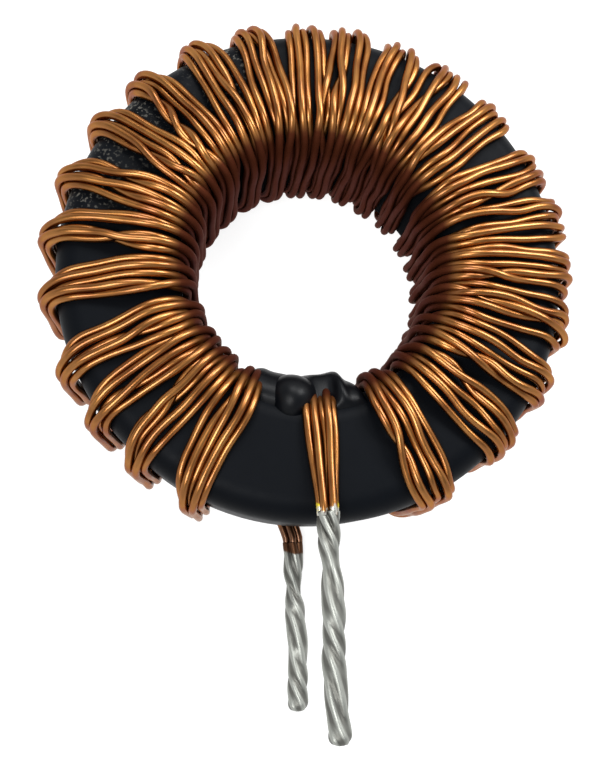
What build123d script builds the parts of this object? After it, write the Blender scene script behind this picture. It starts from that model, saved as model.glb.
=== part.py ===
"""Toroidal inductor: a coated ring core wound with a bundle of five enamelled copper strands.

The ring lies flat, its axis along +Z and its centre at the origin. Both tinned leads point along -Y.
"""

import math
import os

from build123d import *

# Ring core
core_diameter = 48.0
core_hole_diameter = 25.4
core_height = 13.5
core_edge_radius = 2.5
edge_facets = 3

# Wire and its bundle
strand_diameter = 0.75
strand_count = 5
strand_sides = 6
seat_clearance = 0.02
spacing_share = 1.1
outer_slack = 1.1

# Turns, counted from the start lead, clockwise seen from above
turn_count = 23
first_turn_angle = -120.7
winding_angle = 304.6
crowding_angle = 18.0
crowding_power = 2
opening_power = 8

# Shares of the step to the next turn that the bundle has taken at each place of a turn
outer_bottom_share = 0.05
bottom_outer_share = 0.2
bottom_inner_share = 0.6
inner_bottom_share = 0.8

# How far the bundle spreads sideways, and how far every second strand rides up on its neighbours
inner_spread_share = 0.5
edge_spread_share = 0.6
face_spread_share = 0.9
outer_spread_share = 1.0
inner_lift_share = 0.92
edge_lift_share = 0.9
face_lift_share = 0.56
outer_lift_share = 0.0

# Leads: the strands twisted into a rope and tinned
finish_lead_angle = -90.0
finish_tin_radius = 23.3
start_tin_radius = 25.8
start_lead_offset = 2.1
lead_tip_radius = 42.0
lead_straight = 0.8
lead_twist_pitch = 15.0
start_entry_angle = -97.5
lobe_width_angle = 26.0
valley_share = 0.84

# Glue: a bead on the wall of the hole, over the ends of the winding, and a drop on the inner edge
bead_start_angle = -124.0
bead_thick_end_angle = -79.0
bead_end_angle = -72.0
bead_thickness = 2.9
bead_thin_share = 0.65
bead_bottom = -2.0
bead_bevel = 1.1
bead_shoulder = 3.2
bead_crest = 5.2
bead_crest_inset = 0.9
bead_crest_width = 0.9
bead_root = 1.5
bead_root_height = 4.0
glue_clearance = 0.05
drop_angle = -101.3
drop_radius = 1.7
drop_rise = 1.4
drop_inset = 0.4
drop_waist_share = 0.8
drop_crown_share = 0.4

full_turn = 360.0
quarter_turn = 90.0
core_radius = core_diameter / 2
hole_radius = core_hole_diameter / 2
half_height = core_height / 2
strand_radius = strand_diameter / 2
strand_spacing = strand_diameter * spacing_share
seat = strand_radius + seat_clearance
middle_strand = (strand_count - 1) / 2

inner_wire_radius = hole_radius - seat
outer_wire_radius = core_radius + seat + outer_slack
face_wire_height = half_height + seat

rope_circle_radius = strand_spacing / (2 * math.sin(math.pi / strand_count))
rope_radius = rope_circle_radius + strand_radius
winding_reach = face_wire_height + strand_diameter * edge_lift_share + strand_radius
finish_lead_height = face_wire_height + rope_circle_radius
start_lead_height = rope_radius - winding_reach


def polar(radius, angle, height):
    """Point at a radius and an angle in degrees about the ring's axis."""
    turned = math.radians(angle)
    return Vector(radius * math.cos(turned), radius * math.sin(turned), height)


def turn_angle(index):
    """Angle of a turn on the upper face. The turns crowd together, then open out before the finish lead."""
    share = index / (turn_count - 1)
    crowding = crowding_angle * (share**crowding_power - share**opening_power)
    return first_turn_angle - winding_angle * share + crowding


def strand_rise(strand, lift):
    """Height of a strand above the layer that lies on the core: every second strand rides up."""
    return strand_diameter * lift * (strand % 2)


def strand_place(strand, radius, angle, height, spread):
    """Centre of a strand at its place across the bundle."""
    sideways = (strand - middle_strand) * strand_spacing * spread
    return polar(radius, angle + math.degrees(sideways / radius), height)


def bend_reach(rise):
    """Distance from the middle of an edge's rounding to either bend of a wire that goes round it in two bends."""
    return (core_edge_radius + seat + rise) * math.tan(math.radians(quarter_turn / 4))


def wall_point(strand, side, level, angle, spread, lift):
    """Bend of a strand at the end of its run along a wall. side is -1 in the hole and 1 outside."""
    rise = strand_rise(strand, lift)
    radius = (outer_wire_radius if side > 0 else inner_wire_radius) + side * rise
    height = level * (half_height - core_edge_radius + bend_reach(rise))
    return strand_place(strand, radius, angle, height, spread)


def face_point(strand, side, level, angle, spread, lift):
    """Bend of a strand at the end of its run across a face. level is 1 above and -1 below."""
    rise = strand_rise(strand, lift)
    edge_radius = core_radius if side > 0 else hole_radius
    radius = edge_radius - side * (core_edge_radius - bend_reach(rise))
    return strand_place(strand, radius, angle, level * (face_wire_height + rise), spread)


def rope_angle(strand):
    """Angle of a strand about the axis of the twisted lead, from the side nearest the core."""
    step = full_turn / strand_count
    side = 1 if strand > middle_strand else -1
    place = 0 if strand == middle_strand else (2 if strand % 2 else 1)
    return side * place * step


def rope_point(strand, axis_x, axis_y, axis_height, away):
    """Centre of one strand where the bundle has closed up into the lead. away is the side off the core."""
    turned = math.radians(rope_angle(strand))
    across = rope_circle_radius * math.sin(turned)
    up = -away * rope_circle_radius * math.cos(turned)
    return Vector(axis_x + across, axis_y, axis_height + up)


def climb(strand, bottom_angle, top_angle):
    """Run up the inner wall and over the inner edge on to the upper face."""
    return [
        wall_point(strand, -1, -1, bottom_angle, inner_spread_share, inner_lift_share),
        wall_point(strand, -1, 1, top_angle, inner_spread_share, inner_lift_share),
        face_point(strand, -1, 1, top_angle, edge_spread_share, edge_lift_share),
    ]


def descent(strand, angle, next_angle):
    """Run out over the upper face, down the outer wall and back under the ring towards the next turn."""
    step = next_angle - angle
    wall_angle = angle + step * outer_bottom_share
    outer_angle = angle + step * bottom_outer_share
    inner_angle = angle + step * bottom_inner_share
    return [
        face_point(strand, 1, 1, angle, face_spread_share, face_lift_share),
        wall_point(strand, 1, 1, angle, outer_spread_share, outer_lift_share),
        wall_point(strand, 1, -1, wall_angle, outer_spread_share, outer_lift_share),
        face_point(strand, 1, -1, outer_angle, face_spread_share, face_lift_share),
        face_point(strand, -1, -1, inner_angle, edge_spread_share, edge_lift_share),
    ]


def strand_path(strand):
    """Route of one strand from the start lead, through every turn, to the finish lead."""
    start_x = -start_lead_offset
    start_step = first_turn_angle - start_entry_angle
    start_inner_angle = start_entry_angle + start_step * bottom_inner_share
    route = [
        rope_point(strand, start_x, -start_tin_radius, start_lead_height, -1),
        rope_point(strand, start_x, lead_straight - start_tin_radius, start_lead_height, -1),
        face_point(strand, 1, -1, start_entry_angle, edge_spread_share, edge_lift_share),
        face_point(strand, -1, -1, start_inner_angle, edge_spread_share, edge_lift_share),
    ]
    angle = start_entry_angle
    for index in range(turn_count):
        before = angle
        angle = turn_angle(index)
        following = turn_angle(index + 1) if index < turn_count - 1 else finish_lead_angle - full_turn
        route += climb(strand, before + (angle - before) * inner_bottom_share, angle)
        route += descent(strand, angle, following)
    route += climb(strand, angle + (following - angle) * inner_bottom_share, following)
    route += [
        rope_point(strand, 0, lead_straight - finish_tin_radius, finish_lead_height, 1),
        rope_point(strand, 0, -finish_tin_radius, finish_lead_height, 1),
    ]
    return Polyline(*route)


def make_strand(strand):
    """Enamelled wire of many-sided section, bent along its route."""
    path = strand_path(strand)
    section = Plane(origin=path @ 0, z_dir=path % 0) * RegularPolygon(strand_radius, strand_sides)
    return sweep(section, path=path, transition=Transition.RIGHT)


def make_core():
    """Pressed ring under a black coat, revolved from its section. Narrow cones round its edges."""
    corner_radius = core_edge_radius
    middle_radius = (core_radius + hole_radius) / 2
    half_width = (core_radius - hole_radius) / 2
    outline = []
    for corner in range(4):
        across = 1 if corner in (0, 3) else -1
        up = 1 if corner < 2 else -1
        centre_x = middle_radius + across * (half_width - corner_radius)
        centre_z = up * (half_height - corner_radius)
        for facet in range(edge_facets + 1):
            angle = math.radians(quarter_turn * (corner + facet / edge_facets))
            outline.append((centre_x + corner_radius * math.cos(angle), centre_z + corner_radius * math.sin(angle)))
    section = Plane.XZ * make_face(Polyline(*outline, close=True))
    return revolve(section, Axis.Z)


def make_lead(axis_x, tin_radius, axis_height, away):
    """Tinned end of the bundle: five strands twisted into a rope, its hollows part filled with solder."""
    step = full_turn / strand_count
    corners = []
    for lobe in range(strand_count):
        middle = lobe * step - away * quarter_turn
        for side in (-1, 1):
            angle = math.radians(middle + side * lobe_width_angle / 2)
            corners.append((rope_radius * math.cos(angle), rope_radius * math.sin(angle)))
        valley = math.radians(middle + step / 2)
        depth = rope_radius * valley_share
        corners.append((depth * math.cos(valley), depth * math.sin(valley)))
    length = math.sqrt(lead_tip_radius**2 - axis_x**2) - tin_radius
    frame = Plane(origin=(axis_x, -tin_radius, axis_height), x_dir=(1, 0, 0), z_dir=(0, -1, 0))
    section = frame * make_face(Polyline(*corners, close=True))
    twist = -full_turn * length / lead_twist_pitch
    return Solid.extrude_linear_with_rotation(section.face(), frame.origin, frame.z_dir * length, twist)


def ring_sector(outline, start_angle, end_angle):
    """Solid of a section, given as radii and heights, turned about the ring's axis between two angles."""
    section = Plane.XZ.rotated((0, 0, start_angle)) * make_face(Polyline(*outline, close=True))
    return revolve(section, Axis.Z, end_angle - start_angle)


def bead_outline(thickness):
    """Section of the bead: up the wall of the hole to the inner edge and back into the core, which cuts it."""
    bead_radius = hole_radius - thickness
    crest_radius = hole_radius - bead_crest_inset
    root_radius = hole_radius + bead_root
    return [
        (root_radius, bead_bottom),
        (bead_radius + bead_bevel, bead_bottom),
        (bead_radius, bead_bottom + bead_bevel),
        (bead_radius, bead_shoulder),
        (crest_radius, bead_crest),
        (crest_radius + bead_crest_width, bead_crest),
        (root_radius, bead_root_height),
    ]


def bundle_slot(bottom_angle, top_angle):
    """Room that a bundle takes as it climbs the wall of the hole and bends over the inner edge."""
    rise = strand_diameter * inner_lift_share
    wall_radius = inner_wire_radius - rise - strand_radius - glue_clearance
    roof = winding_reach + glue_clearance
    corner = bend_reach(rise) + strand_radius * math.tan(math.radians(quarter_turn / 4))
    outline = [
        (wall_radius, -roof),
        (wall_radius, half_height - core_edge_radius + corner),
        (hole_radius + core_edge_radius - corner, roof),
        (core_radius, roof),
        (core_radius, -roof),
    ]
    half_width = middle_strand * strand_spacing * edge_spread_share + strand_radius + glue_clearance
    half_angle = math.degrees(half_width / inner_wire_radius)
    return ring_sector(outline, min(bottom_angle, top_angle) - half_angle, max(bottom_angle, top_angle) + half_angle)


def climb_angles(before, angle):
    """Angles of a bundle at the bottom and the top of its climb after it has stepped on from the turn before."""
    return before + (angle - before) * inner_bottom_share, angle


def make_glue(core):
    """Bead of glue that holds both ends of the winding, with a domed drop beside the finish lead."""
    thin = bead_thickness * bead_thin_share
    bead = ring_sector(bead_outline(bead_thickness), bead_start_angle, bead_thick_end_angle)
    bead += ring_sector(bead_outline(thin), bead_thick_end_angle, bead_end_angle)
    half_outline = [
        (0, -drop_radius),
        (drop_radius, -drop_radius),
        (drop_radius, 0),
        (drop_radius * drop_waist_share, drop_rise * drop_waist_share),
        (drop_radius * drop_crown_share, drop_rise),
        (0, drop_rise),
    ]
    drop = revolve(Plane.XZ * make_face(Polyline(*half_outline, close=True)), Axis.Z)
    foot = polar(hole_radius + drop_inset, drop_angle, half_height - drop_inset)
    glue = bead + Plane(origin=foot) * drop - core
    last_angle = turn_angle(turn_count - 1) + full_turn
    glue -= bundle_slot(*climb_angles(last_angle, finish_lead_angle))
    return glue - bundle_slot(*climb_angles(start_entry_angle, first_turn_angle))


os.makedirs("parts", exist_ok=True)
core = make_core()
pieces = {"core": core, "glue_drop": make_glue(core)}
for strand in range(strand_count):
    pieces[f"strand_{strand + 1}"] = make_strand(strand)
pieces["start_lead"] = make_lead(-start_lead_offset, start_tin_radius, start_lead_height, -1)
pieces["finish_lead"] = make_lead(0, finish_tin_radius, finish_lead_height, 1)
for name, piece in pieces.items():
    export_step(piece, f"parts/{name}.step")
    print(name, round(piece.volume, 2), piece.is_valid)
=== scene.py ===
"""Dresses a toroidal inductor: coated ring core, five-strand winding, tinned leads and a drop of glue.

Lengths are in millimetres in the classes and become metres when a mesh is made.
"""

import logging
import math
from dataclasses import dataclass, field
from enum import Enum, IntEnum
from typing import Sequence

import bpy
import numpy as np
from mathutils import Matrix, Vector, kdtree


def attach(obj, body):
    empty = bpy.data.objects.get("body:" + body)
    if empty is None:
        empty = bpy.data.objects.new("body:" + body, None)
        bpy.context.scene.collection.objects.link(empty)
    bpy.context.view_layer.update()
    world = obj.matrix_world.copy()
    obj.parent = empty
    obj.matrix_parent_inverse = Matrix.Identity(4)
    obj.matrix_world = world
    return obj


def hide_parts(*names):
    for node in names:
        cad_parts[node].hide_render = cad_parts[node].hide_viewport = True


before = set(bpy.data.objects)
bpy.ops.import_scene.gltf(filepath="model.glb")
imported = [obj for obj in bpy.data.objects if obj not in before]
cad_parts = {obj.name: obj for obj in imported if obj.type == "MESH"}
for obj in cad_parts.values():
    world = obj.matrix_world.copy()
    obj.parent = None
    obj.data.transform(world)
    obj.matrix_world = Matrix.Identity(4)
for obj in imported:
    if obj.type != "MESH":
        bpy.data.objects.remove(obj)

MM = 0.001
BODY = "root"
VALUE_SOCKET = "NodeSocketFloat"
TINY = 1e-9
log = logging.getLogger("inductor")

Colour = tuple[float, float, float]
Place = tuple[float, float, float]
Direction = tuple[float, float, float]
Span = tuple[float, float]
PerStation = tuple[float, ...]


class LeadEnd(Enum):
    """Which end of the winding a lead is. The value is the side of the core that it lies on."""

    START = -1
    FINISH = 1


class Station(IntEnum):
    """Where a turn is on the core's section. Each run goes from its own station to the next."""

    HOLE_WALL = 0
    INNER_EDGE = 1
    UPPER_FACE = 2
    OUTER_EDGE = 3
    OUTER_WALL = 4
    LOWER_OUTER_EDGE = 5
    LOWER_FACE = 6
    LOWER_INNER_EDGE = 7


def polar(radius: float, angle: float, height: float) -> np.ndarray:
    """Place at a radius, an angle in radians and a height."""
    return np.array([radius * math.cos(angle), radius * math.sin(angle), height])


def travelled(route: np.ndarray) -> np.ndarray:
    """Length of a route from its start to each of its points."""
    return np.concatenate([[0], np.cumsum(np.linalg.norm(np.diff(route, axis=0), axis=1))])


def falling(value: float) -> float:
    """Falls softly from 1 to 0 as the value passes zero."""
    return 1 / (1 + math.exp(value))


def mesh_object(name: str, points: np.ndarray, faces: Sequence[Sequence[int]]) -> bpy.types.Object:
    """Makes a smooth-shaded mesh object in the scene.

    Args:
        name: Name of the piece.
        points: Vertex places in millimetres, one row each.
        faces: Vertex numbers of each face.

    Returns:
        The new object.
    """
    mesh = bpy.data.meshes.new(name)
    mesh.from_pydata((points * MM).tolist(), [], [list(f) for f in faces])
    mesh.validate()
    mesh.polygons.foreach_set("use_smooth", [True] * len(mesh.polygons))
    mesh.update()
    piece = bpy.data.objects.new(name, mesh)
    bpy.context.scene.collection.objects.link(piece)
    return piece


def mark_points(piece: bpy.types.Object, label: str, values: np.ndarray) -> None:
    """Stores a value on each vertex, for the finish to read.

    Args:
        piece: The piece.
        label: Name of the values.
        values: One value for each vertex.
    """
    mark = piece.data.attributes.new(label, "FLOAT", "POINT")
    mark.data.foreach_set("value", values.astype(np.float32))


def ring_faces(rings: int, sides: int, first: int = 0) -> list[tuple[int, int, int, int]]:
    """Quads between successive rings of vertices.

    Args:
        rings: Number of rings.
        sides: Vertices in each ring.
        first: Number of the first vertex.

    Returns:
        The faces, facing outward for rings that run counter-clockwise about their direction of travel.
    """
    faces = []
    for ring in range(rings - 1):
        low = first + ring * sides
        for side in range(sides):
            after = (side + 1) % sides
            faces.append((low + side, low + after, low + sides + after, low + sides + side))
    return faces


def seat_piece(piece: bpy.types.Object, slot: str, *nodes: str) -> None:
    """Lets a piece ride on the body and stand for its nodes.

    Args:
        piece: The new piece.
        slot: Not used.
        nodes: Nodes that the piece replaces.
    """
    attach(piece, BODY)
    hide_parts(*nodes)


class NodeTree:
    """Short calls for building a shader tree.

    A colour Mix node has sockets of the same name for other kinds of value, so its own are kept by number.
    """

    mix_inputs = (0, 6, 7)
    mix_output = 2

    def __init__(self, tree: bpy.types.ShaderNodeTree) -> None:
        """Keeps the tree."""
        self.tree = tree

    def node(self, kind: str, **values: object) -> bpy.types.Node:
        """Adds a node.

        Args:
            kind: Blender's node type.
            values: Attributes to set on the node.

        Returns:
            The new node.
        """
        made = self.tree.nodes.new(kind)
        for key, value in values.items():
            setattr(made, key, value)
        return made

    def link(self, source: bpy.types.NodeSocket, target: bpy.types.NodeSocket) -> None:
        """Joins two sockets."""
        self.tree.links.new(source, target)

    def math(self, operation: str, first: object, second: object) -> bpy.types.NodeSocket:
        """Adds a Math node.

        Args:
            operation: Blender's operation name.
            first: Socket or number.
            second: Socket or number.

        Returns:
            The node's output.
        """
        made = self.node("ShaderNodeMath", operation=operation)
        for place, value in enumerate((first, second)):
            if isinstance(value, (int, float)):
                made.inputs[place].default_value = value
            else:
                self.link(value, made.inputs[place])
        return made.outputs[0]

    def mix(self, factor: object, first: object, second: object) -> bpy.types.NodeSocket:
        """Adds a colour Mix node.

        Args:
            factor: Socket or number.
            first: Socket or colour at factor 0.
            second: Socket or colour at factor 1.

        Returns:
            The mixed colour.
        """
        made = self.node("ShaderNodeMix", data_type="RGBA")
        for place, value in zip(self.mix_inputs, (factor, first, second)):
            socket = made.inputs[place]
            if isinstance(value, bpy.types.NodeSocket):
                self.link(value, socket)
            else:
                socket.default_value = value if isinstance(value, (int, float)) else (*value, 1.0)
        return made.outputs[self.mix_output]

    def remap(self, value: bpy.types.NodeSocket, low: float, high: float) -> bpy.types.NodeSocket:
        """Maps 0..1 to low..high.

        Args:
            value: Socket with a value from 0 to 1.
            low: Result at 0.
            high: Result at 1.

        Returns:
            The mapped value.
        """
        made = self.node("ShaderNodeMapRange")
        self.link(value, made.inputs["Value"])
        made.inputs["To Min"].default_value = low
        made.inputs["To Max"].default_value = high
        return made.outputs["Result"]

    def step(self, value: bpy.types.NodeSocket, low: float, high: float) -> bpy.types.NodeSocket:
        """Turns a value into a mask.

        Args:
            value: Socket with a value.
            low: Value where the mask is 0.
            high: Value where the mask is 1.

        Returns:
            The mask.
        """
        made = self.node("ShaderNodeMapRange", interpolation_type="SMOOTHSTEP")
        self.link(value, made.inputs["Value"])
        made.inputs["From Min"].default_value = low
        made.inputs["From Max"].default_value = high
        return made.outputs["Result"]

    def mark(self, label: str) -> bpy.types.NodeSocket:
        """Reads a value that is stored on the vertices."""
        return self.node("ShaderNodeAttribute", attribute_name=label).outputs["Fac"]


@dataclass(frozen=True)
class GrainGroup:
    """Fine and broad unevenness of a surface, shared by every finish."""

    name: str = "surface_grain"
    fine_scale: float = 1500.0
    broad_scale: float = 120.0
    speck_share: float = 0.3
    fine_detail: float = 3.0
    broad_detail: float = 2.0
    speck_size: float = 0.28
    fine_height: float = 0.4

    def group(self) -> bpy.types.ShaderNodeTree:
        """Builds the node group once.

        Returns:
            The group: Fine Scale, Broad Scale and Speck Share in; Fine, Broad, Speck and Height out.
        """
        made = bpy.data.node_groups.get(self.name)
        if made is not None:
            return made
        made = bpy.data.node_groups.new(self.name, "ShaderNodeTree")
        inputs = (("Fine Scale", self.fine_scale), ("Broad Scale", self.broad_scale),
                  ("Speck Share", self.speck_share))
        for label, value in inputs:
            socket = made.interface.new_socket(label, in_out="INPUT", socket_type=VALUE_SOCKET)
            socket.default_value = value
        for label in ("Fine", "Broad", "Speck", "Height"):
            made.interface.new_socket(label, in_out="OUTPUT", socket_type=VALUE_SOCKET)
        tree = NodeTree(made)
        inlet = tree.node("NodeGroupInput")
        outlet = tree.node("NodeGroupOutput")
        place = tree.node("ShaderNodeTexCoord")
        noises = {}
        for label, detail in (("Fine", self.fine_detail), ("Broad", self.broad_detail)):
            noise = tree.node("ShaderNodeTexNoise")
            noise.inputs["Detail"].default_value = detail
            tree.link(place.outputs["Object"], noise.inputs["Vector"])
            tree.link(inlet.outputs[f"{label} Scale"], noise.inputs["Scale"])
            noises[label] = noise.outputs["Fac"]
            tree.link(noise.outputs["Fac"], outlet.inputs[label])
        cells = tree.node("ShaderNodeTexVoronoi")
        tree.link(place.outputs["Object"], cells.inputs["Vector"])
        tree.link(inlet.outputs["Fine Scale"], cells.inputs["Scale"])
        near = tree.math("LESS_THAN", cells.outputs["Distance"], self.speck_size)
        picked = tree.math("LESS_THAN", cells.outputs["Color"], inlet.outputs["Speck Share"])
        tree.link(tree.math("MULTIPLY", near, picked), outlet.inputs["Speck"])
        height = tree.math("ADD", tree.math("MULTIPLY", noises["Fine"], self.fine_height), noises["Broad"])
        tree.link(height, outlet.inputs["Height"])
        return made


@dataclass(frozen=True)
class Finish:
    """What every finish of the inductor shares. A span holds the values at the two ends of a change."""

    name: str
    fine_scale: float = 1500.0
    broad_scale: float = 120.0
    speck_share: float = 0.0
    bump: float = 0.1
    bump_depth: float = 0.00005
    roughness: Span = (0.4, 0.6)

    def start(self) -> tuple[bpy.types.Material, NodeTree, bpy.types.Node, bpy.types.Node]:
        """Makes the material with its shader, grain and bump.

        Returns:
            The material, its tree, the Principled shader and the grain group's node.
        """
        material = bpy.data.materials.new(self.name)
        material.use_nodes = True
        tree = NodeTree(material.node_tree)
        shader = material.node_tree.nodes["Principled BSDF"]
        grain = tree.node("ShaderNodeGroup", node_tree=GrainGroup().group())
        grain.inputs["Fine Scale"].default_value = self.fine_scale
        grain.inputs["Broad Scale"].default_value = self.broad_scale
        grain.inputs["Speck Share"].default_value = self.speck_share
        bump = tree.node("ShaderNodeBump")
        bump.inputs["Strength"].default_value = self.bump
        bump.inputs["Distance"].default_value = self.bump_depth
        tree.link(grain.outputs["Height"], bump.inputs["Height"])
        tree.link(bump.outputs["Normal"], shader.inputs["Normal"])
        return material, tree, shader, grain


@dataclass(frozen=True)
class EnamelledCopper(Finish):
    """Bright copper under clear amber enamel: duller in the hole, where painted shade also darkens it;
    painted shade darkens the start end, and the enamel is yellowed where the finish lead begins.
    """

    name: str = "enamelled_copper"
    fine_scale: float = 1300.0
    broad_scale: float = 330.0
    bump: float = 0.12
    roughness: Span = (0.26, 0.40)
    light: Colour = (0.38, 0.165, 0.042)
    dark: Colour = (0.20, 0.067, 0.015)
    # Painted shade colour that the strands in the hole are mixed towards
    bore_shade: Colour = (0.078, 0.020, 0.009)
    grazing: Colour = (0.55, 0.32, 0.15)
    tin: Colour = (0.55, 0.55, 0.50)
    # Painted shade colour for the strands at the start end, which lie under the ring
    yellow: Colour = (0.72, 0.55, 0.03)
    start_shade: Colour = (0.13, 0.06, 0.03)
    shading: Span = (-0.6, 1.6)
    patches: Span = (-0.3, 0.3)
    start_shading: Span = (0.3, 0.6)
    yellowing: Span = (0.6, 0.7)
    tinning: Span = (0.8, 0.9)
    bore_roughness: float = 0.2
    metal_to_bore: Span = (1.0, 0.55)
    coat_to_bore: Span = (0.35, 0.0)
    coat_roughness: float = 0.14
    specular: float = 0.08

    def material(self) -> bpy.types.Material:
        """Builds the material.

        Returns:
            The finished material.
        """
        made, tree, shader, grain = self.start()
        fine, bore_shade = grain.outputs["Fine"], tree.mark("bore_shade")
        copper = tree.mix(tree.remap(grain.outputs["Broad"], *self.shading), self.dark, self.light)
        # Painted shade: the runs in the hole are mixed towards a dark reddish brown
        colour = tree.mix(bore_shade, copper, self.bore_shade)
        patchy = tree.remap(fine, *self.patches)
        # The start end is darkened by painted shade; the yellow and the tin are the wire's own colours
        ends = (("start_end", self.start_shading, self.start_shade), ("yellow", self.yellowing, self.yellow),
                ("finish_end", self.tinning, self.tin))
        for label, span, stain in ends:
            mask = tree.step(tree.math("ADD", tree.mark(label), patchy), *span)
            colour = tree.mix(mask, colour, stain)
        tree.link(colour, shader.inputs["Base Color"])
        rough = tree.math("ADD", tree.remap(fine, *self.roughness),
                          tree.math("MULTIPLY", bore_shade, self.bore_roughness))
        tree.link(rough, shader.inputs["Roughness"])
        tree.link(tree.remap(bore_shade, *self.metal_to_bore), shader.inputs["Metallic"])
        tree.link(tree.remap(bore_shade, *self.coat_to_bore), shader.inputs["Coat Weight"])
        shader.inputs["Coat Roughness"].default_value = self.coat_roughness
        shader.inputs["Specular IOR Level"].default_value = self.specular
        shader.inputs["Specular Tint"].default_value = (*self.grazing, 1.0)
        return made


@dataclass(frozen=True)
class CoatedCore(Finish):
    """Black epoxy coat: slightly pebbled, dusty, scuffed to grey flecks in places, with a soft sheen."""

    name: str = "core_coat"
    fine_scale: float = 1400.0
    broad_scale: float = 140.0
    speck_share: float = 0.03
    bump: float = 0.16
    roughness: Span = (0.40, 0.56)
    black: Colour = (0.0014, 0.0020, 0.0032)
    grey: Colour = (0.0032, 0.0042, 0.0060)
    grit: Colour = (0.06, 0.05, 0.04)
    scuff: Colour = (0.22, 0.21, 0.18)
    scuff_scale: float = 3000.0
    scuffing: Span = (0.54, 0.66)
    hole_roughness: float = 0.4
    specular: float = 0.06

    def material(self) -> bpy.types.Material:
        """Builds the material.

        Returns:
            The finished material.
        """
        made, tree, shader, grain = self.start()
        coat = tree.mix(grain.outputs["Broad"], self.black, self.grey)
        specked = tree.mix(grain.outputs["Speck"], coat, self.grit)
        flecks = tree.node("ShaderNodeGroup", node_tree=GrainGroup().group())
        flecks.inputs["Fine Scale"].default_value = self.scuff_scale
        ragged = tree.math("MULTIPLY", tree.mark("worn"), tree.step(flecks.outputs["Fine"], *self.scuffing))
        tree.link(tree.mix(ragged, specked, self.scuff), shader.inputs["Base Color"])
        rough = tree.math("ADD", tree.remap(grain.outputs["Fine"], *self.roughness),
                          tree.math("MULTIPLY", tree.mark("hole"), self.hole_roughness))
        tree.link(rough, shader.inputs["Roughness"])
        shader.inputs["Specular IOR Level"].default_value = self.specular
        return made


@dataclass(frozen=True)
class BrightSolder(Finish):
    """Solder over twisted copper, with painted shade in the hollows between the strands and over the bare
    copper at the start.
    """

    name: str = "tinned_copper"
    fine_scale: float = 1500.0
    broad_scale: float = 420.0
    bump: float = 0.3
    bump_depth: float = 0.00008
    roughness: Span = (0.38, 0.60)
    bright: Colour = (0.35, 0.36, 0.33)
    # Painted shade colour for the hollows between the twisted strands
    hollow_shade: Colour = (0.13, 0.13, 0.117)
    copper: Colour = (0.42, 0.16, 0.045)
    # Painted shade colour for the bare copper at the start lead, under the ring
    start_shade: Colour = (0.09, 0.042, 0.022)
    patches: Span = (-0.5, 0.5)
    hollow_shading: Span = (0.0, 1.0)
    bare_patches: Span = (-0.4, 0.4)
    baring: Span = (0.4, 0.6)

    def material(self) -> bpy.types.Material:
        """Builds the material.

        Returns:
            The finished material.
        """
        made, tree, shader, grain = self.start()
        broad = grain.outputs["Broad"]
        patchy = tree.math("ADD", tree.mark("crest"), tree.remap(broad, *self.patches))
        # Painted shade: where the crest mark is low, in the hollows between strands, the solder takes the
        # dark colour
        solder = tree.mix(tree.step(patchy, *self.hollow_shading), self.hollow_shade, self.bright)
        ragged = tree.math("ADD", tree.mark("bare"), tree.remap(broad, *self.bare_patches))
        # Painted shade: the start lead's bare copper takes the dark colour in place of the copper colour
        metal = tree.mix(tree.mark("start_shade"), self.copper, self.start_shade)
        tree.link(tree.mix(tree.step(ragged, *self.baring), solder, metal), shader.inputs["Base Color"])
        tree.link(tree.remap(grain.outputs["Fine"], *self.roughness), shader.inputs["Roughness"])
        shader.inputs["Metallic"].default_value = 1.0
        return made


@dataclass(frozen=True)
class BlackGlue(Finish):
    """Glossy black glue that has set with a soft skin."""

    name: str = "black_glue"
    fine_scale: float = 700.0
    broad_scale: float = 300.0
    bump: float = 0.1
    roughness: Span = (0.32, 0.46)
    black: Colour = (0.0010, 0.0013, 0.0020)
    blue: Colour = (0.0022, 0.0030, 0.0045)
    specular: float = 0.15

    def material(self) -> bpy.types.Material:
        """Builds the material.

        Returns:
            The finished material.
        """
        made, tree, shader, grain = self.start()
        tree.link(tree.mix(grain.outputs["Broad"], self.black, self.blue), shader.inputs["Base Color"])
        tree.link(tree.remap(grain.outputs["Fine"], *self.roughness), shader.inputs["Roughness"])
        shader.inputs["Specular IOR Level"].default_value = self.specular
        return made


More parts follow.
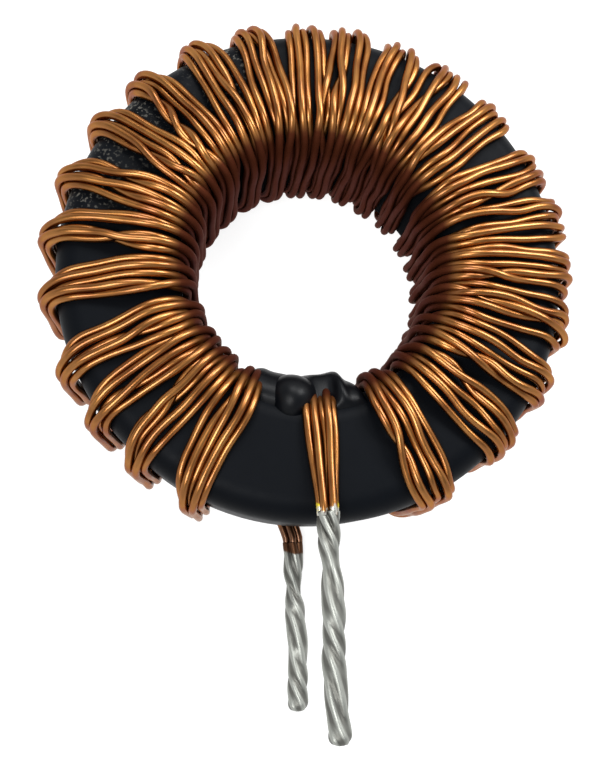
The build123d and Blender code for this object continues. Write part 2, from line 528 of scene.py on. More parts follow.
@dataclass
class RingCore:
    """Coated ring with rounded edges. Sizes in millimetres."""

    diameter: float = 48.0
    hole_diameter: float = 25.4
    height: float = 13.5
    edge_radius: float = 2.5
    sides: int = 288
    edge_steps: int = 10
    worn_angles: tuple[float, ...] = (112.0, 141.0, 158.0)
    worn_reach: float = 5.0
    hole_fade: float = 1.0
    finish: CoatedCore = field(default_factory=CoatedCore)

    @property
    def outer(self) -> float:
        """Outer radius."""
        return self.diameter / 2

    @property
    def inner(self) -> float:
        """Radius of the hole."""
        return self.hole_diameter / 2

    def section(self) -> np.ndarray:
        """Outline of the ring's section.

        Returns:
            Radius and height of each point, once round.
        """
        points = []
        half = self.height / 2 - self.edge_radius
        corners = ((self.outer - self.edge_radius, half), (self.inner + self.edge_radius, half),
                   (self.inner + self.edge_radius, -half), (self.outer - self.edge_radius, -half))
        for corner, (radius, height) in enumerate(corners):
            for step in range(self.edge_steps + 1):
                turned = math.pi / 2 * (corner + step / self.edge_steps)
                points.append((radius + self.edge_radius * math.cos(turned),
                               height + self.edge_radius * math.sin(turned)))
        return np.array(points)

    def clearance(self, points: np.ndarray) -> tuple[np.ndarray, np.ndarray]:
        """Distance of points from the surface, and the way out.

        Args:
            points: Places, one row each.

        Returns:
            Distances, negative inside, and unit directions away from the core.
        """
        radius = np.hypot(points[:, 0], points[:, 1])
        middle = (self.outer + self.inner) / 2
        across = np.abs(radius - middle) - ((self.outer - self.inner) / 2 - self.edge_radius)
        up = np.abs(points[:, 2]) - (self.height / 2 - self.edge_radius)
        out_across = np.maximum(across, 0)
        out_up = np.maximum(up, 0)
        length = np.hypot(out_across, out_up)
        distance = length + np.minimum(np.maximum(across, up), 0) - self.edge_radius
        flat = length < TINY
        safe = np.where(flat, 1, length)
        way_across = np.where(flat, across > up, out_across / safe) * np.sign(radius - middle)
        way_up = np.where(flat, across <= up, out_up / safe) * np.sign(points[:, 2])
        level_way = way_across[:, None] * points[:, :2] / radius[:, None]
        return distance, np.column_stack([level_way, way_up])

    def build(self) -> bpy.types.Object:
        """Turns the section round the axis.

        Returns:
            The core, in place of its node.
        """
        section = self.section()
        count = len(section)
        angles = np.linspace(0, 2 * math.pi, self.sides, endpoint=False)
        points = np.array([polar(radius, angle, height) for angle in angles for radius, height in section])
        faces = []
        for side in range(self.sides):
            low, high = side * count, (side + 1) % self.sides * count
            for place in range(count):
                after = (place + 1) % count
                faces.append((low + place, high + place, high + after, low + after))
        piece = mesh_object("core_ring", points, faces)
        worn = np.zeros(len(points))
        for angle in self.worn_angles:
            spot = polar(self.outer, math.radians(angle), self.height / 2)
            worn = np.maximum(worn, 1 - np.linalg.norm(points - spot, axis=1) / self.worn_reach)
        hole = (self.inner + self.hole_fade - np.hypot(points[:, 0], points[:, 1])) / self.hole_fade
        mark_points(piece, "worn", worn)
        mark_points(piece, "hole", np.clip(hole, 0, 1))
        piece.data.materials.append(self.finish.material())
        seat_piece(piece, "core_coat", "core")
        return piece


@dataclass(frozen=True)
class BundleLay:
    """How the bundle lies at each station of a turn. Slack is its extra reach outside the core."""

    spreads: PerStation
    lifts: PerStation
    slack: float


@dataclass(frozen=True)
class WireWaves:
    """Small waves of wire that is laid by hand, larger on the loose half of the winding."""

    lengths: tuple[float, ...] = (3.3, 5.1, 7.9)
    heights: tuple[float, ...] = (0.05, 0.07, 0.09)
    drift: float = 0.08
    widest_phase: float = 6.0
    lift_share: float = 0.6
    lift_rate: float = 1.13
    fade_length: float = 8.0
    still_share: float = 0.3
    loose_from: float = 0.5
    loose_rise: float = 10.0
    loose_gain: float = 0.7
    seed: int = 91

    def add(self, points: np.ndarray, core: RingCore, strand: int) -> np.ndarray:
        """Moves the points of a strand.

        Args:
            points: Places along the strand.
            core: Ring that the strand is wound on.
            strand: Strand number from 0.

        Returns:
            The moved places.
        """
        rng = np.random.default_rng(self.seed + strand)
        length = travelled(points)
        to_end = np.minimum(length, length[-1] - length)
        fade = np.clip(to_end / self.fade_length - self.still_share, 0, 1)
        fade *= 1 + self.loose_gain * np.clip((length / length[-1] - self.loose_from) * self.loose_rise, 0, 1)
        _, out = core.clearance(points)
        side = np.stack([-points[:, 1], points[:, 0], np.zeros(len(points))], axis=1)
        side /= np.linalg.norm(side, axis=1)[:, None]
        for wave, height in zip(self.lengths, self.heights):
            drift = np.cumsum(rng.normal(0, self.drift, len(points)))
            phase = 2 * math.pi * length / wave + drift + rng.uniform(0, self.widest_phase)
            points = points + (fade * height * np.sin(phase))[:, None] * side
            lift = fade * height * self.lift_share * np.cos(phase * self.lift_rate)
            points = points + lift[:, None] * out
        return points


@dataclass
class BundleRoute:
    """Route of the five strands: where each turn stands and how the bundle spreads and stacks.

    Angles are in degrees. A tuple of eight values has one for each station: step_shares is how far a turn has
    come from the crossing before, at 0, over its own, at 1, to the next, at 2; piles raises the whole bundle;
    outer_shares is how far the strands have changed to their order at the outer bend. On tight turns the
    middle strands reach further out by cap, and each strand less than the one before it by nesting.
    """

    core: RingCore
    strand_diameter: float = 0.75
    strand_count: int = 5
    spacing_share: float = 1.1
    seat_clearance: float = 0.02
    turn_count: int = 23
    first_turn_angle: float = -120.7
    winding_angle: float = 304.6
    crowding_angle: float = 18.0
    crowding_powers: tuple[int, int] = (2, 8)
    wander: tuple[float, ...] = (0, 0, 1.7, 3.2, 0.2, -0.3, -0.3, -1.5, -1.4, -2.7, -2.8, -1.7, 0.3, 0.2, 1.0,
                                 -0.1, -2.6, -1.9, -1.0, 0.4, 0.8, 1.4, 0)
    finish_lead_angle: float = -90.0
    start_entry_angle: float = -95.4
    finish_tin_radius: float = 23.3
    start_tin_radius: float = 25.8
    start_lead_offset: float = 2.1
    lead_straight: float = 0.8
    lead_in_spread: float = 0.55
    edge_lift: float = 0.9
    tight: BundleLay = BundleLay(spreads=(0.46, 0.52, 0.95, 0.85, 0.45, 0.4, 0.5, 0.58),
                                 lifts=(0.85, 0.82, 0.4, 0.45, 0.8, 0.9, 0.85, 0.85), slack=0.22)
    loose: BundleLay = BundleLay(spreads=(0.48, 0.56, 1.0, 1.08, 1.0, 0.86, 0.86, 0.6),
                                 lifts=(0.85, 0.82, 0.5, 0.4, 0.4, 0.45, 0.5, 0.85), slack=0.12)
    tight_turns: float = 11.6
    tight_fade: float = 0.8
    step_shares: PerStation = (0.88, 1.0, 1.0, 1.0, 1.0, 1.05, 1.2, 1.5)
    piles: PerStation = (0.0, 0.2, 0.85, 0.0, 0.0, 0.0, 0.0, 0.0)
    outer_shares: PerStation = (0.0, 0.0, 0.35, 0.8, 1.0, 1.0, 0.8, 0.3)
    lean_shares: PerStation = (0.0, 0.0, 0.0, 0.0, 0.5, 1.0, 0.6, 0.0)
    lean_angle: float = 4.0
    leaning_turns: float = 11.5
    finish_spreads: tuple[float, ...] = (0.5, 0.62, 0.7)
    finish_settling: float = 0.45
    finish_apart: float = 0.4
    finish_run: Span = (0.1, 1.0)
    finish_steps: int = 9
    cap: float = 0.08
    nesting: float = 0.05
    bow: float = 0.06
    wall_bow_share: float = 0.4
    least_slack: float = 0.02
    turn_slack: float = 0.15
    slack_noise: float = 0.03
    loose_slack_noise: float = 0.05
    side_noise: float = 0.1
    loose_side_noise: float = 0.06
    lift_noise: float = 0.09
    most_swaps: int = 3
    order_seed: int = 11
    strand_seed: int = 12
    turn_seed: int = 51
    samples: tuple[int, ...] = (11, 7, 9, 9, 11, 9, 9, 7)
    waves: WireWaves = field(default_factory=WireWaves)

    @property
    def spacing(self) -> float:
        """Distance between neighbouring strands of a flat bundle."""
        return self.strand_diameter * self.spacing_share

    @property
    def seat(self) -> float:
        """Distance of a strand's centre from the core under it."""
        return self.strand_diameter / 2 + self.seat_clearance

    @property
    def rope_circle(self) -> float:
        """Radius of the circle of strand centres in a twisted lead."""
        return self.spacing / (2 * math.sin(math.pi / self.strand_count))

    def lead_height(self, end: LeadEnd) -> float:
        """Height of a lead's axis.

        Args:
            end: Which lead.

        Returns:
            The height in millimetres.
        """
        face = self.core.height / 2 + self.seat
        if end is LeadEnd.FINISH:
            return face + self.rope_circle
        return self.rope_circle - face - self.strand_diameter * self.edge_lift

    def lead_side(self, end: LeadEnd) -> float:
        """Sideways place of a lead's axis."""
        return -self.start_lead_offset if end is LeadEnd.START else 0.0

    def tin_radius(self, end: LeadEnd) -> float:
        """Distance from the ring's axis to where a lead's tin begins."""
        return self.start_tin_radius if end is LeadEnd.START else self.finish_tin_radius

    def turn_angle(self, index: int) -> float:
        """Angle of a turn on the upper face.

        Args:
            index: Turn, counted from the start lead.

        Returns:
            Degrees about the ring's axis.
        """
        share = index / (self.turn_count - 1)
        early, late = self.crowding_powers
        crowding = self.crowding_angle * (share**early - share**late)
        return self.first_turn_angle - self.winding_angle * share + crowding + self.wander[index]

    def rope_point(self, strand: int, end: LeadEnd, along: float) -> np.ndarray:
        """Centre of a strand where the bundle closes up into a lead.

        Args:
            strand: Strand number from 0.
            end: Which lead.
            along: Distance from the ring's axis towards the lead's tip.

        Returns:
            The place.
        """
        middle = (self.strand_count - 1) / 2
        hand = 1 if strand > middle else -1
        place = 0 if strand == middle else (2 if strand % 2 else 1)
        turned = math.radians(hand * place * 360 / self.strand_count)
        up = -end.value * self.rope_circle * math.cos(turned)
        side = self.lead_side(end) + self.rope_circle * math.sin(turned)
        return np.array([side, -along, self.lead_height(end) + up])

    def loop_point(self, station: Station, share: float, row: np.ndarray) -> np.ndarray:
        """Place on a turn that hugs the rounded section of the core.

        Args:
            station: Station at which the run begins.
            share: How far along the run, from 0 to 1.
            row: Angle, sideways place, lift and slack.

        Returns:
            The place.
        """
        core = self.core
        angle, sideways, lift, slack = row
        reach = core.edge_radius + self.seat + lift
        outer_reach = reach + slack
        half = core.height / 2 - core.edge_radius
        low, high = core.inner + core.edge_radius, core.outer - core.edge_radius
        rising, easing = math.sin(share * math.pi / 2), math.cos(share * math.pi / 2)
        arch = self.bow * math.sin(share * math.pi)
        radius, height = {
            Station.HOLE_WALL: (low - reach, -half + 2 * half * share),
            Station.INNER_EDGE: (low - reach * easing, half + reach * rising),
            Station.UPPER_FACE: (low + (high - low) * share, half + reach + arch),
            Station.OUTER_EDGE: (high + outer_reach * rising, half + reach * easing),
            Station.OUTER_WALL: (high + outer_reach + arch * self.wall_bow_share, half - 2 * half * share),
            Station.LOWER_OUTER_EDGE: (high + outer_reach * easing, -half - reach * rising),
            Station.LOWER_FACE: (high - (high - low) * share, -half - reach),
            Station.LOWER_INNER_EDGE: (low - reach * rising, -half - reach * easing),
        }[station]
        return polar(radius, math.radians(angle) + sideways / radius, height)

    def crossings(self) -> list[float]:
        """Angles of all crossings of the upper face, from the lead-in to the finish lead."""
        turns = [self.turn_angle(index) for index in range(self.turn_count)]
        return [self.start_entry_angle, *turns, self.finish_lead_angle - 360]

    def outer_orders(self) -> list[list[int]]:
        """Order of the strands at the outer bend of each turn, with one to three neighbours swapped.

        Returns:
            Strand numbers in their order, for each crossing.
        """
        chance = np.random.default_rng(self.order_seed)
        orders = []
        for _ in self.crossings():
            order = list(range(self.strand_count))
            for _ in range(chance.integers(1, self.most_swaps + 1)):
                place = chance.integers(0, self.strand_count - 1)
                order[place], order[place + 1] = order[place + 1], order[place]
            orders.append(order)
        return orders

    def keys(self, strand: int) -> np.ndarray:
        """Angle, sideways place, lift and slack of a strand at the stations of each turn.

        Args:
            strand: Strand number from 0.

        Returns:
            One row for each station.
        """
        rng = np.random.default_rng(self.strand_seed + strand)
        chance = np.random.default_rng(self.turn_seed)
        middle = (self.strand_count - 1) / 2
        angles = self.crossings()
        last = len(angles) - 1
        orders = self.outer_orders()
        rows = []
        for turn, here in enumerate(angles):
            before, after = angles[max(turn - 1, 0)], angles[min(turn + 1, last)]
            order = orders[turn].index(strand)
            aside = order - middle
            tight = falling((turn - self.tight_turns) / self.tight_fade) if turn else 0.0
            loose = 1 - tight
            slack = self.tight.slack * tight + self.loose.slack * loose
            slack += chance.uniform(-self.turn_slack, self.turn_slack)
            slack += (self.cap * (1 - (aside / middle)**2) - self.nesting * aside) * tight
            slack += rng.normal(0, self.slack_noise + self.loose_slack_noise * loose)
            slack = max(slack, self.least_slack)
            lean = self.lean_angle * (0 < turn < self.leaning_turns)
            for station in Station:
                share = self.step_shares[station]
                angle = before + (here - before) * share
                if share >= 1:
                    angle = here + (after - here) * (share - 1)
                angle += lean * self.lean_shares[station]
                place = strand + (order - strand) * self.outer_shares[station]
                spread = self.tight.spreads[station] * tight + self.loose.spreads[station] * loose
                raised = self.tight.lifts[station] * tight + self.loose.lifts[station] * loose
                if turn == 0:
                    spread, raised = self.lead_in_spread, self.edge_lift
                if turn == last and station < len(self.finish_spreads):
                    spread = self.finish_spreads[station]
                    raised *= 1 - self.finish_settling * station
                sideways = (place - middle) * self.spacing * spread
                sideways += rng.normal(0, self.side_noise + self.loose_side_noise * loose)
                if turn == last and strand == 0:
                    sideways -= self.finish_apart
                odd = (1 - math.cos(math.pi * place)) / 2
                lift = self.strand_diameter * raised * odd + abs(rng.normal(0, self.lift_noise))
                if turn < last:
                    lift += self.piles[station]
                rows.append((angle, sideways, lift, slack))
        return np.array(rows)

    def strand(self, strand: int) -> np.ndarray:
        """Rough route of one strand, before the strands settle against each other.

        Args:
            strand: Strand number from 0.

        Returns:
            Places along the strand.
        """
        table = self.keys(strand)
        first, last = Station.LOWER_FACE, len(table) - len(Station) + Station.UPPER_FACE
        points = [self.rope_point(strand, LeadEnd.START, self.start_tin_radius),
                  self.rope_point(strand, LeadEnd.START, self.start_tin_radius - self.lead_straight)]
        for number in range(first, last):
            station = Station(number % len(Station))
            for step in range(self.samples[station]):
                share = step / self.samples[station]
                eased = share * share * (3 - 2 * share)
                row = table[number] * (1 - eased) + table[number + 1] * eased
                turning = eased if station is Station.OUTER_EDGE else share
                row[0] = table[number][0] * (1 - turning) + table[number + 1][0] * turning
                points.append(self.loop_point(station, share, row))
        end = self.rope_point(strand, LeadEnd.FINISH, self.finish_tin_radius - self.lead_straight)
        begin = points[-1]
        for share in np.linspace(*self.finish_run, self.finish_steps):
            points.append(begin * (1 - share) + end * share)
        points.append(self.rope_point(strand, LeadEnd.FINISH, self.finish_tin_radius))
        return self.waves.add(np.array(points), self.core, strand)


@dataclass
class Winding:
    """Five enamelled strands wound side by side through the ring.

    The limits keep the wires inside the box of the solids.
    """

    core: RingCore
    route: BundleRoute
    sides: int = 12
    rounds: int = 200
    contact_rounds: int = 8
    contact_reach: float = 1.25
    own_points: int = 5
    least_distance: float = 1e-6
    push: float = 0.45
    stiffness: float = 0.05
    hold: float = 0.012
    low_limit: float = -8.17
    high_limit: float = 8.75
    reach_limit: float = 25.84
    end_tapers: Span = (0.8, 0.9)
    # Length of painted shade at the start end of each strand
    start_shade_length: float = 5.0
    tinned_length: float = 3.0
    bore_shade_fade: float = 0.9
    finish: EnamelledCopper = field(default_factory=EnamelledCopper)

    def contacts(self, points: np.ndarray, owner: np.ndarray) -> tuple[np.ndarray, np.ndarray]:
        """Pairs of points on different stretches of wire that are close to each other.

        Args:
            points: All points of all strands.
            owner: Strand of each point.

        Returns:
            Numbers of the first and the second point of each pair.
        """
        tree = kdtree.KDTree(len(points))
        for number, point in enumerate(points):
            tree.insert(point, number)
        tree.balance()
        first, second = [], []
        near = self.route.strand_diameter * self.contact_reach
        for number, point in enumerate(points):
            for _, other, _ in tree.find_range(point, near):
                apart = owner[other] != owner[number] or other - number > self.own_points
                if other > number and apart:
                    first.append(number)
                    second.append(other)
        return np.array(first), np.array(second)

    def settle(self, strands: list[np.ndarray]) -> list[np.ndarray]:
        """Lets the strands push each other apart and off the core until they lie side by side.

        Args:
            strands: Rough routes.

        Returns:
            Settled routes.
        """
        owner = np.concatenate([np.full(len(s), n) for n, s in enumerate(strands)])
        points = np.concatenate(strands)
        wanted = points.copy()
        ends = np.zeros(len(points), bool)
        start = 0
        for strand in strands:
            ends[[start, start + 1, start + len(strand) - 2, start + len(strand) - 1]] = True
            start += len(strand)
        width = self.route.strand_diameter
        inner = np.zeros(len(points), bool)
        inner[2:-2] = (owner[:-4] == owner[2:-2]) & (owner[4:] == owner[2:-2])
        inside = np.flatnonzero(inner)
        first = second = np.array([], int)
        for step in range(self.rounds):
            if step % self.contact_rounds == 0:
                first, second = self.contacts(points, owner)
            apart = points[first] - points[second]
            distance = np.maximum(np.linalg.norm(apart, axis=1), self.least_distance)
            overlap = np.maximum(width - distance, 0)
            shift = (self.push * overlap / distance)[:, None] * apart
            np.add.at(points, first, shift)
            np.add.at(points, second, -shift)
            bend = (points[inside - 2] - 4 * points[inside - 1] + 6 * points[inside]
                    - 4 * points[inside + 1] + points[inside + 2])
            points[inside] -= self.stiffness * bend
            points += self.hold * (wanted - points)
            gap, way = self.core.clearance(points)
            points += np.maximum(width / 2 - gap, 0)[:, None] * way
            points[:, 2] = np.clip(points[:, 2], self.low_limit + width / 2, self.high_limit - width / 2)
            radius = np.hypot(points[:, 0], points[:, 1])
            shrink = np.where(ends, 1, np.minimum(1, (self.reach_limit - width / 2) / radius))
            points[:, :2] *= shrink[:, None]
            points[ends] = wanted[ends]
        return [points[owner == n] for n in range(len(strands))]

    def smooth(self, route: np.ndarray) -> np.ndarray:
        """Doubles the points of a route along a smooth curve through them.

        Args:
            route: Points of a strand.

        Returns:
            The finer route.
        """
        padded = np.concatenate([[2 * route[0] - route[1]], route, [2 * route[-1] - route[-2]]])
        middle = (9 * (padded[1:-2] + padded[2:-1]) - padded[:-3] - padded[3:]) / 16
        fine = np.empty((2 * len(route) - 1, 3))
        fine[0::2] = route
        fine[1::2] = middle
        return fine

    def tube(self, name: str, route: np.ndarray, yellowed: bool) -> bpy.types.Object:
        """Makes a round wire along a route.

        Args:
            name: Name of the piece.
            route: Centre line.
            yellowed: Whether scorched enamel is left at the finish lead.

        Returns:
            The wire, with its ends and its runs in the hole marked.
        """
        along = np.gradient(route, axis=0)
        along /= np.linalg.norm(along, axis=1)[:, None]
        side = np.cross(along[0], (0.0, 0.0, 1.0))
        side /= np.linalg.norm(side)
        turned = np.linspace(0, 2 * math.pi, self.sides, endpoint=False)
        circle = np.stack([np.cos(turned), np.sin(turned)], axis=1) * self.route.strand_diameter / 2
        rings = []
        taper = np.ones(len(route))
        taper[[0, 1, -2, -1]] = (*self.end_tapers, *self.end_tapers[::-1])
        for point, way, share in zip(route, along, taper):
            side = side - way * (side @ way)
            side /= np.linalg.norm(side)
            other = np.cross(way, side)
            rings.append(point + share * (circle[:, :1] * side + circle[:, 1:] * other))
        points = np.concatenate(rings)
        faces = ring_faces(len(rings), self.sides)
        last = (len(rings) - 1) * self.sides
        faces.append(tuple(range(self.sides))[::-1])
        faces.append(tuple(range(last, last + self.sides)))
        piece = mesh_object(name, points, faces)
        length = travelled(route)
        tinned = np.clip(1 - (length[-1] - length) / self.tinned_length, 0, 1)
        radius = np.hypot(route[:, 0], route[:, 1])
        marks = {
            "start_end": np.clip(1 - length / self.start_shade_length, 0, 1),
            "finish_end": tinned,
            "yellow": tinned * yellowed,
            # Marks the runs in the hole, where the finish paints shade
            "bore_shade": np.clip((self.core.inner + self.bore_shade_fade - radius) / self.bore_shade_fade, 0, 1),
        }
        for label, values in marks.items():
            mark_points(piece, label, np.repeat(values, self.sides))
        return piece

    def build(self) -> list[bpy.types.Object]:
        """Lays, settles and dresses the strands.

        Returns:
            The five strands.
        """
        rough = [self.route.strand(n) for n in range(self.route.strand_count)]
        finish = self.finish.material()
        pieces = []
        for number, route in enumerate(self.settle(rough), start=1):
            outermost = number in (1, self.route.strand_count)
            piece = self.tube(f"copper_strand_{number}", self.smooth(route), outermost)
            piece.data.materials.append(finish)
            seat_piece(piece, "enamelled_copper", f"strand_{number}")
            pieces.append(piece)
        return pieces


@dataclass(frozen=True)
class Ripple:
    """Slow wave along a lead: its height, and its rate in radians for each millimetre."""

    height: float
    rate: float

    def at(self, along: float, phase: float) -> float:
        """Value of the wave at a distance."""
        return self.height * math.sin(along * self.rate + phase)


@dataclass
class TinnedLead:
    """One end of the bundle: strands twisted into a rope and dipped in solder."""

    route: BundleRoute
    end: LeadEnd
    tip_radius: float = 42.0
    twist_pitch: float = 15.0
    twist_ripple: Ripple = Ripple(0.3, 0.7)
    fill_share: float = 0.84
    fill_start_share: float = 0.62
    fill_length: float = 3.5
    fill_ripples: tuple[Ripple, Ripple] = (Ripple(0.04, 1.3), Ripple(0.03, 2.9))
    hollow_sharpness: float = 22.0
    crest_from: float = 0.84
    bare_length: float = 1.3
    overlap: float = 0.35
    girth: float = 0.96
    most_girth: float = 0.99
    girth_ripples: tuple[Ripple, Ripple] = (Ripple(0.03, 0.9), Ripple(-0.02, 1.9))
    tip_rounding: float = 0.8
    tip_share: float = 0.35
    waist_place: float = 4.2
    waist_length: float = 1.2
    waist_share: float = 0.24
    sway: Ripple = Ripple(0.1, 0.55)
    sway_start: float = 4.0
    ripple_count: int = 6
    sides: int = 100
    steps: int = 150
    seed: int = 5

    def profile(self, angles: np.ndarray, fill: float) -> np.ndarray:
        """Radius of the rope at angles from the first strand.

        Args:
            angles: Radians about the lead's axis.
            fill: Radius that the solder fills.

        Returns:
            The radius at each angle.
        """
        step = 2 * math.pi / self.route.strand_count
        off = (angles + step / 2) % step - step / 2
        wire = self.route.strand_diameter / 2
        circle = self.route.rope_circle
        under = np.maximum(wire**2 - (circle * np.sin(off))**2, 0)
        lobe = np.where(under > 0, circle * np.cos(off) + np.sqrt(under), 0)
        sharp = self.hollow_sharpness
        return np.log(np.exp(lobe * sharp) + np.exp(fill * sharp)) / sharp

    def thickness(self, along: float, left: float, phases: np.ndarray) -> float:
        """Share of the rope's radius at a place: a little uneven, with a waist and a rounded tip.

        Args:
            along: Distance from the start of the tin.
            left: Distance to the tip.
            phases: Phases of the two ripples.

        Returns:
            The share.
        """
        first, second = self.girth_ripples
        swell = self.girth + first.at(along, phases[0]) + second.at(along, phases[1] + math.pi / 2)
        waist = 1 - self.waist_share * math.exp(-((along - self.waist_place) / self.waist_length)**2)
        taper = 1.0
        if left < self.tip_rounding:
            rounded = math.sqrt(max(1 - (1 - left / self.tip_rounding)**2, 0))
            taper = self.tip_share + (1 - self.tip_share) * rounded
        return min(swell, self.most_girth) * waist * taper

    def build(self, finish: bpy.types.Material) -> bpy.types.Object:
        """Sweeps the twisted profile along the lead.

        Args:
            finish: Solder material.

        Returns:
            The lead, in place of its node.
        """
        route, sign = self.route, self.end.value
        rng = np.random.default_rng(self.seed + sign)
        starts = self.end is LeadEnd.START
        axis_x, tin_radius = route.lead_side(self.end), route.tin_radius(self.end)
        length = math.sqrt(self.tip_radius**2 - axis_x**2) - tin_radius
        widest = route.rope_circle + route.strand_diameter / 2
        phases = rng.uniform(0, 2 * math.pi, self.ripple_count)
        fill_phases, twist_phase, girth_phases, sway_phase = phases[:2], phases[2], phases[3:5], phases[5]
        angles = np.linspace(0, 2 * math.pi, self.sides, endpoint=False)
        rings, crest, bare = [], [], []
        for step in range(self.steps + 1):
            along = (length + self.overlap) * step / self.steps - self.overlap
            past = max(along, 0)
            filled = min(past / self.fill_length, 1)
            fill = self.fill_start_share + (self.fill_share - self.fill_start_share) * filled
            fill += sum(ripple.at(along, phase) for ripple, phase in zip(self.fill_ripples, fill_phases))
            twist = -2 * math.pi * along / self.twist_pitch + self.twist_ripple.at(along, twist_phase)
            radius = self.profile(angles - twist + sign * math.pi / 2, widest * fill)
            # The crest mark is high on the strand tops and low in the hollows, where the finish paints shade
            crest.append((radius / widest - self.crest_from) / (1 - self.crest_from))
            bare.append(np.full(self.sides, starts * (1 - past / self.bare_length)))
            radius = radius * self.thickness(along, length - along, girth_phases)
            centre = axis_x + self.sway.at(along, sway_phase) * min(past / self.sway_start, 1)
            rings.append(np.stack([centre + radius * np.cos(angles), np.full(self.sides, -tin_radius - along),
                                   route.lead_height(self.end) + radius * np.sin(angles)], axis=1))
        points = np.concatenate(rings)
        faces = [face[::-1] for face in ring_faces(len(rings), self.sides)]
        last = self.steps * self.sides
        faces.append(tuple(range(self.sides)))
        faces.append(tuple(range(last, last + self.sides))[::-1])
        piece = mesh_object(f"{self.end.name.lower()}_lead_rope", points, faces)
        # The start lead is marked for painted shade over its bare copper
        start_shade = [np.full(len(points), float(starts))]
        for label, values in (("crest", crest), ("bare", bare), ("start_shade", start_shade)):
            mark_points(piece, label, np.clip(np.concatenate(values), 0, 1))
        piece.data.materials.append(finish)
        seat_piece(piece, "tinned_copper", f"{self.end.name.lower()}_lead")
        return piece


@dataclass(frozen=True)
class Lump:
    """Soft wave in the glue: its height, its rate for each degree of the ring and its change up the wall."""

    height: float
    rate: float
    change: float
    phase: float = 0.0

    def at(self, angle: float, share: float) -> float:
        """Height of the wave at a place."""
        return self.height * math.sin(angle * self.rate + self.change * share + self.phase)


@dataclass
class GlueBead:
    """Bead of glue on the wall of the hole, over both ends of the winding, with a drop on the inner edge."""

    core: RingCore
    start_angle: float = -124.0
    thick_end_angle: float = -79.0
    end_angle: float = -72.0
    thickness: float = 2.85
    thin_share: float = 0.65
    thin_fade: float = 0.7
    bottom: float = -2.0
    top_radius: float = 14.0
    end_rounding: float = 8.0
    lumps: tuple[Lump, ...] = (Lump(0.05, 0.23, 0.8, 0.5), Lump(0.03, 0.51, -1.3))
    bulge_powers: Span = (2.6, 0.75)
    sink: float = 0.03
    left_share: float = 0.8
    left_offset: float = 4.0
    left_fade: float = 3.0
    lead_angle: float = -88.6
    lead_half_width: float = 5.5
    lead_edge_power: int = 4
    lead_top: float = 4.8
    lead_fade: float = 1.2
    lead_cover: float = 0.3
    drop_angle: float = -101.3
    drop_inset: float = 0.1
    drop_foot: float = 5.6
    drop_radius: float = 2.3
    drop_rise: float = 2.0
    drop_depth: float = 0.6
    drop_unevenness: float = 0.03
    drop_lobes: int = 3
    drop_turn: float = 0.7
    drop_rings: int = 26
    drop_sides: int = 64
    rows: int = 120
    columns: int = 48
    finish: BlackGlue = field(default_factory=BlackGlue)

    def wall_outline(self) -> tuple[np.ndarray, np.ndarray]:
        """Follows the wall of the hole upward and over its edge.

        Returns:
            Places and outward directions, as radius and height.
        """
        core = self.core
        half = core.height / 2 - core.edge_radius
        over = math.acos((core.inner + core.edge_radius - self.top_radius) / core.edge_radius)
        straight = half - self.bottom
        total = straight + over * core.edge_radius
        places, ways = [], []
        for column in range(self.columns + 1):
            along = total * column / self.columns
            turned = max(along - straight, 0) / core.edge_radius
            way = np.array([-math.cos(turned), math.sin(turned)])
            foot = np.array([core.inner + core.edge_radius, min(self.bottom + along, half)])
            places.append(foot + core.edge_radius * way)
            ways.append(way)
        return np.array(places), np.array(ways)

    def bead(self) -> tuple[np.ndarray, list[tuple[int, ...]]]:
        """Sweeps the bead along the edge.

        Returns:
            Places and faces.
        """
        places, ways = self.wall_outline()
        shares = np.linspace(-1, 1, self.columns + 1)
        flatness, softness = self.bulge_powers
        profile = np.maximum(1 - np.abs(shares)**flatness, 0)**softness
        points = []
        for row in range(self.rows + 1):
            angle = self.start_angle + (self.end_angle - self.start_angle) * row / self.rows
            to_end = min(angle - self.start_angle, self.end_angle - angle) / self.end_rounding
            rounding = math.sqrt(max(1 - (1 - min(to_end, 1))**2, 0))
            thin = (1 - self.thin_share) * falling((self.thick_end_angle - angle) / self.thin_fade)
            to_left = angle - self.drop_angle - self.left_offset
            left = (1 - self.left_share) * falling(to_left / self.left_fade)
            height = self.thickness * (1 - thin - left)
            at_lead = math.exp(-((angle - self.lead_angle) / self.lead_half_width)**self.lead_edge_power)
            for place, way, share, bulge in zip(places, ways, shares, profile):
                lump = sum(wave.at(angle, share) for wave in self.lumps)
                rise = bulge * (height + lump) * rounding - self.sink
                beside = at_lead * min(max((place[1] - self.lead_top) / self.lead_fade, 0), 1)
                rise += (min(rise, self.lead_cover) - rise) * beside
                radius, level = place + way * rise
                points.append(polar(radius, math.radians(angle), level))
        width = self.columns + 1
        faces = []
        for row in range(self.rows):
            for column in range(self.columns):
                low = row * width + column
                faces.append((low, low + width, low + width + 1, low + 1))
        return np.array(points), faces

    def drop(self, first: int) -> tuple[np.ndarray, list[tuple[int, ...]]]:
        """Raises a soft dome over the core's edge.

        Args:
            first: Number of the first vertex.

        Returns:
            Places and faces.
        """
        foot = polar(self.core.inner + self.drop_inset, math.radians(self.drop_angle), self.drop_foot)
        points = []
        for ring in range(self.drop_rings + 1):
            share = ring / self.drop_rings
            height = (self.drop_rise + self.drop_depth) * math.sqrt(1 - share**2) - self.drop_depth
            for side in range(self.drop_sides):
                around = 2 * math.pi * side / self.drop_sides
                uneven = 1 + self.drop_unevenness * math.sin(self.drop_lobes * around + self.drop_turn)
                points.append(foot + polar(share * self.drop_radius * uneven, around, height))
        return np.array(points), ring_faces(self.drop_rings + 1, self.drop_sides, first)

    def build(self) -> bpy.types.Object:
        """Joins bead and drop.

        Returns:
            The glue, in place of its node.
        """
        points, faces = self.bead()
        drop_points, drop_faces = self.drop(len(points))
        piece = mesh_object("glue_bead", np.concatenate([points, drop_points]), [*faces, *drop_faces])
        piece.data.materials.append(self.finish.material())
        seat_piece(piece, "black_glue", "glue_drop")
        return piece


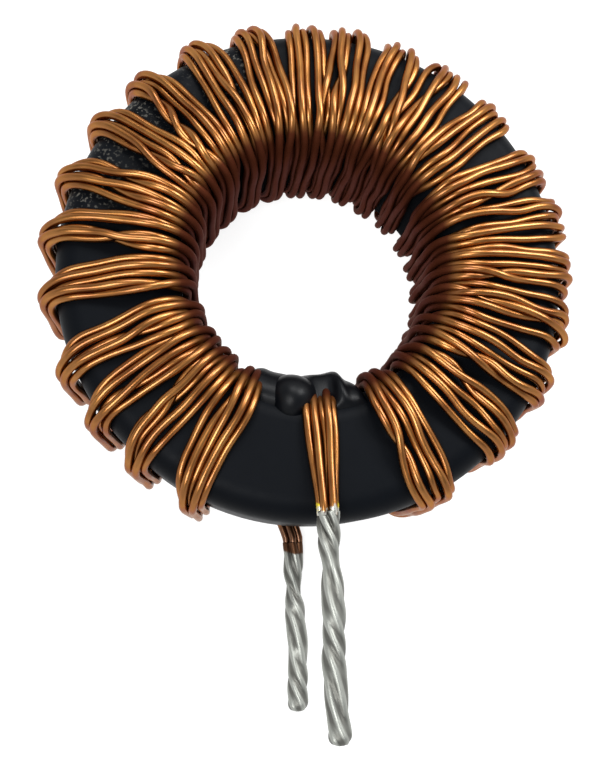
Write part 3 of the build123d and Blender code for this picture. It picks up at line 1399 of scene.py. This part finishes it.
@dataclass(frozen=True)
class SoftLamp:
    """Square soft light that faces the ring. Its power is in watts."""

    name: str
    place: Place
    size: float
    power: float

    def build(self) -> None:
        """Adds the lamp to the scene."""
        light = bpy.data.lights.new(self.name, "AREA")
        light.size = self.size * MM
        light.energy = self.power
        lamp = bpy.data.objects.new(self.name, light)
        lamp.location = Vector(self.place) * MM
        lamp.rotation_euler = (-Vector(self.place)).to_track_quat("-Z", "Y").to_euler()
        bpy.context.scene.collection.objects.link(lamp)


@dataclass
class Studio:
    """Pale floor, soft lights and the camera at the photograph's viewing angle."""

    floor_height: float = -8.2
    floor_radius: float = 900.0
    sweep_radius: float = 1500.0
    sweep_height: float = 950.0
    sweep_steps: int = 12
    sides: int = 96
    floor_shade: float = 0.3
    floor_roughness: float = 0.9
    floor_glow: float = 0.88
    world_colour: Colour = (0.92, 0.95, 1.0)
    world_strength: float = 0.4
    lamps: tuple[SoftLamp, ...] = (SoftLamp("key", (20.0, 210.0, 290.0), 140.0, 0.62),
                                   SoftLamp("side", (210.0, 120.0, 260.0), 140.0, 0.95),
                                   SoftLamp("front", (-120.0, -120.0, 320.0), 150.0, 0.8))
    camera_place: Place = (0.0, -26.737, 80.801)
    camera_right: Direction = (0.95760, 0.27643, 0.08116)
    camera_up: Direction = (-0.28706, 0.93944, 0.18722)
    turn_to_part: float = -18.5
    nearest: float = 1.0
    focal_pixels: float = 840.84
    image_height: int = 766
    sensor: float = 36.0

    def floor(self) -> None:
        """Lays the floor, white as the photograph's background, and sweeps its rim up into a backdrop."""
        angles = np.linspace(0, 2 * math.pi, self.sides, endpoint=False)
        points = []
        for step in range(self.sweep_steps + 1):
            swept = math.pi / 2 * step / self.sweep_steps
            radius = self.floor_radius + (self.sweep_radius - self.floor_radius) * math.sin(swept)
            height = self.floor_height + self.sweep_height * (1 - math.cos(swept))
            points += [polar(radius, angle, height) for angle in angles]
        rim = [face[::-1] for face in ring_faces(self.sweep_steps + 1, self.sides)]
        ground = mesh_object("floor", np.array(points), [range(self.sides), *rim])
        material = bpy.data.materials.new("floor_white")
        material.use_nodes = True
        tree = NodeTree(material.node_tree)
        shader = material.node_tree.nodes["Principled BSDF"]
        shader.inputs["Base Color"].default_value = (*[self.floor_shade] * 3, 1)
        shader.inputs["Roughness"].default_value = self.floor_roughness
        shader.inputs["Specular IOR Level"].default_value = 0.0
        path = tree.node("ShaderNodeLightPath")
        seen = tree.math("MAXIMUM", path.outputs["Is Camera Ray"], path.outputs["Is Glossy Ray"])
        seen = tree.math("MAXIMUM", seen, path.outputs["Is Transmission Ray"])
        glow = tree.mix(seen, (0.0, 0.0, 0.0), [self.floor_glow] * 3)
        tree.link(glow, shader.inputs["Emission Color"])
        shader.inputs["Emission Strength"].default_value = 1.0
        ground.data.materials.append(material)

    def world(self) -> None:
        """Sets an even pale surround."""
        world = bpy.data.worlds.new("studio")
        bpy.context.scene.world = world
        world.use_nodes = True
        back = world.node_tree.nodes["Background"]
        back.inputs["Color"].default_value = (*self.world_colour, 1)
        back.inputs["Strength"].default_value = self.world_strength

    def camera(self) -> None:
        """Places the camera where the photograph was taken."""
        turn = Matrix.Rotation(math.radians(self.turn_to_part), 3, "Z")
        right = turn @ Vector(self.camera_right).normalized()
        up = turn @ Vector(self.camera_up)
        up = (up - right * up.dot(right)).normalized()
        back = right.cross(up)
        place = turn @ Vector(self.camera_place) * MM
        lens = bpy.data.cameras.new("camera")
        lens.sensor_width = self.sensor
        lens.lens = self.focal_pixels * self.sensor / self.image_height
        lens.clip_start = self.nearest * MM
        camera = bpy.data.objects.new("camera", lens)
        camera.matrix_world = Matrix(((right.x, up.x, back.x, place.x), (right.y, up.y, back.y, place.y),
                                      (right.z, up.z, back.z, place.z), (0, 0, 0, 1)))
        bpy.context.scene.collection.objects.link(camera)
        bpy.context.scene.camera = camera

    def build(self) -> None:
        """Sets up the whole studio."""
        bpy.context.scene.view_settings.view_transform = "Standard"
        self.floor()
        self.world()
        for lamp in self.lamps:
            lamp.build()
        self.camera()


def main() -> None:
    """Builds every piece in order and logs each piece's number of faces."""
    logging.basicConfig(level=logging.INFO)
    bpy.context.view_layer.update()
    core = RingCore()
    route = BundleRoute(core)
    solder = BrightSolder().material()
    Studio().build()
    pieces = [core.build()]
    pieces += Winding(core, route).build()
    pieces += [TinnedLead(route, end).build(solder) for end in LeadEnd]
    pieces.append(GlueBead(core).build())
    for piece in pieces:
        log.info("%s: %d faces", piece.name, len(piece.data.polygons))
    bpy.context.view_layer.update()


if __name__ == "__main__":
    main()
